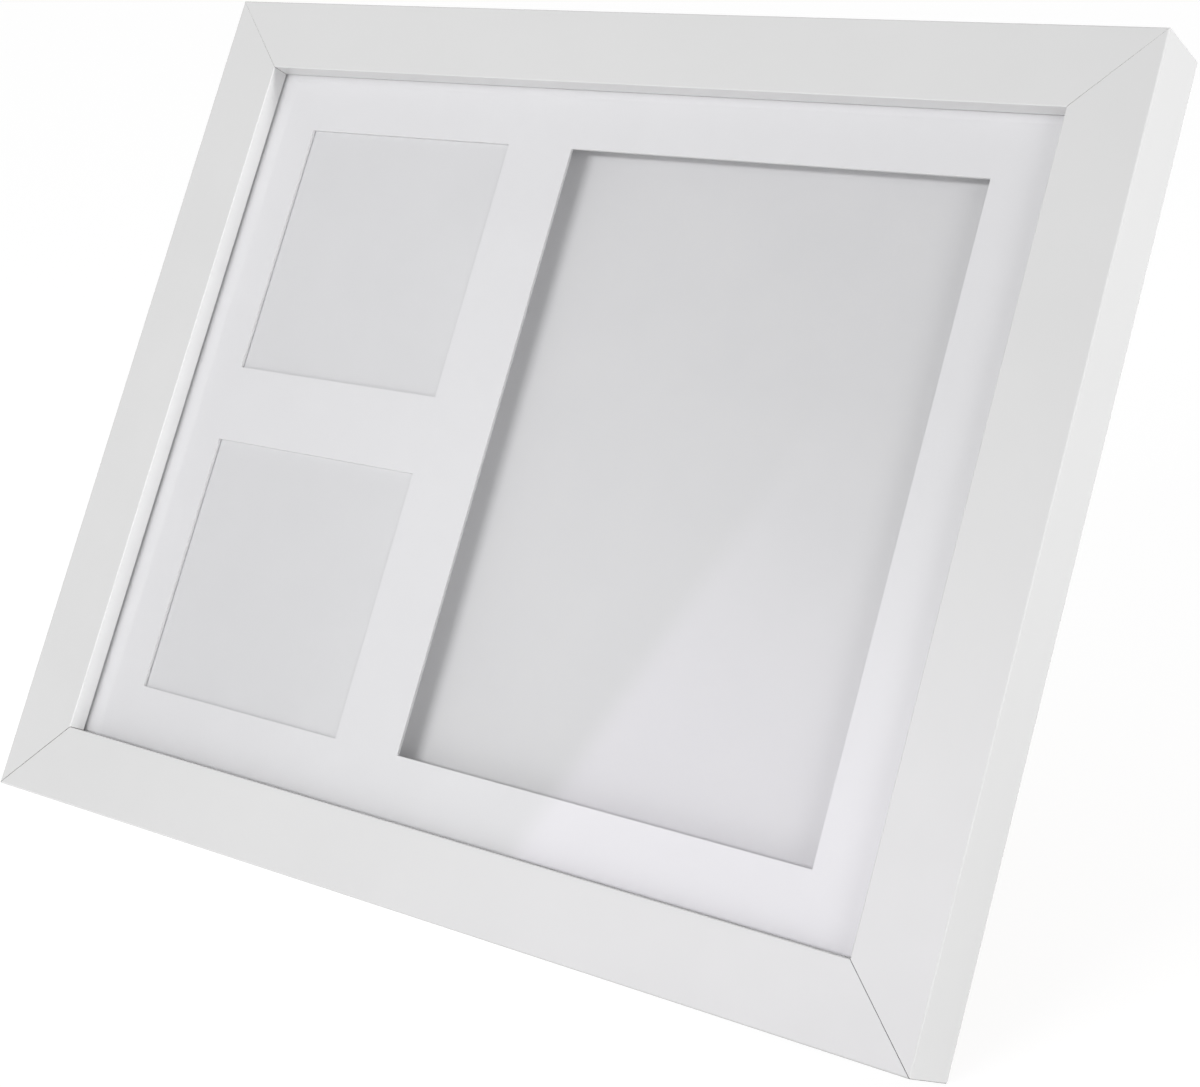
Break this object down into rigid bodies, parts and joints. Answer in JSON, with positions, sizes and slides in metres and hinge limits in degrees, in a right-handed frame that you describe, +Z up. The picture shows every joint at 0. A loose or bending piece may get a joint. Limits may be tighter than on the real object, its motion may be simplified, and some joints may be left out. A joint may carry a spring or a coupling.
{
  "type": "pet paw print frame",
  "caption": "White mitred picture frame with glazing, a mat with square photo windows and a tall well for a clay paw print, leaning on a hinged easel leg.",
  "frame": {"origin": "centre of the footprint of the standing frame, on the surface it stands on", "axes": "+Z up, +X to the right as seen from the front, -Y towards the viewer; the frame leans back 27 degrees"},
  "size_m": [0.2794, 0.1212, 0.2118],
  "materials": {
    "white_foil": "white wrapped moulding, satin",
    "clear_glass": "clear, polished",
    "mat_board": "white, matte",
    "photo_card": "blank pale card, matte",
    "foam_board": "white foam board, matte",
    "well_card": "white card, matte",
    "hardboard": "brown hardboard, bare",
    "zinc_steel": "zinc plated",
    "brass_steel": "brass plated"
  },
  "bodies": {
    "frame": {"top_rail": "white_foil", "bottom_rail": "white_foil", "left_rail": "white_foil", "right_rail": "white_foil", "v_nail_top_left": "zinc_steel", "v_nail_top_right": "zinc_steel", "v_nail_bottom_left": "zinc_steel", "v_nail_bottom_right": "zinc_steel", "glazing": "clear_glass", "mat": "mat_board", "photo_card_upper": "photo_card", "photo_card_lower": "photo_card", "spacer_board": "foam_board", "well_card": "well_card", "backboard": "hardboard", "turn_button_screw_top_left": "brass_steel", "turn_button_screw_top_right": "brass_steel", "turn_button_screw_bottom_left": "brass_steel", "turn_button_screw_bottom_right": "brass_steel", "turn_button_screw_left": "brass_steel", "turn_button_screw_right": "brass_steel", "sawtooth_hanger": "zinc_steel", "hanger_nail_left": "brass_steel", "hanger_nail_right": "brass_steel", "hinge_bracket": "zinc_steel", "hinge_pin": "brass_steel", "bracket_rivet_left": "brass_steel", "bracket_rivet_right": "brass_steel"},
    "leg": {"easel_leg": "hardboard", "hinge_leaf": "zinc_steel", "leg_rivet_left": "brass_steel", "leg_rivet_right": "brass_steel"},
    "button_top_left": {"turn_button_top_left": "zinc_steel"},
    "button_top_right": {"turn_button_top_right": "zinc_steel"},
    "button_bottom_left": {"turn_button_bottom_left": "zinc_steel"},
    "button_bottom_right": {"turn_button_bottom_right": "zinc_steel"},
    "button_left": {"turn_button_left": "zinc_steel"},
    "button_right": {"turn_button_right": "zinc_steel"}
  },
  "joints": [
    {"name": "easel_fold", "type": "hinge", "parent": "frame", "child": "leg", "pos_m": [0, 0.0269, 0.13193], "axis": [1, 0, 0], "range_deg": [-38, 0]},
    {"name": "button_top_left_turn", "type": "hinge", "parent": "frame", "child": "button_top_left", "pos_m": [-0.075, 0.0564, 0.19753], "axis": [0, 0.891, -0.454], "range_deg": [-90, 90]},
    {"name": "button_top_right_turn", "type": "hinge", "parent": "frame", "child": "button_top_right", "pos_m": [0.075, 0.0564, 0.19753], "axis": [0, 0.891, -0.454], "range_deg": [-90, 90]},
    {"name": "button_bottom_left_turn", "type": "hinge", "parent": "frame", "child": "button_bottom_left", "pos_m": [-0.075, -0.04125, 0.00588], "axis": [0, 0.891, -0.454], "range_deg": [-90, 90]},
    {"name": "button_bottom_right_turn", "type": "hinge", "parent": "frame", "child": "button_bottom_right", "pos_m": [0.075, -0.04125, 0.00588], "axis": [0, 0.891, -0.454], "range_deg": [-90, 90]},
    {"name": "button_left_turn", "type": "hinge", "parent": "frame", "child": "button_left", "pos_m": [-0.13295, 0.00757, 0.10171], "axis": [0, 0.891, -0.454], "range_deg": [-90, 90]},
    {"name": "button_right_turn", "type": "hinge", "parent": "frame", "child": "button_right", "pos_m": [0.13295, 0.00757, 0.10171], "axis": [0, 0.891, -0.454], "range_deg": [-90, 90]}
  ]
}
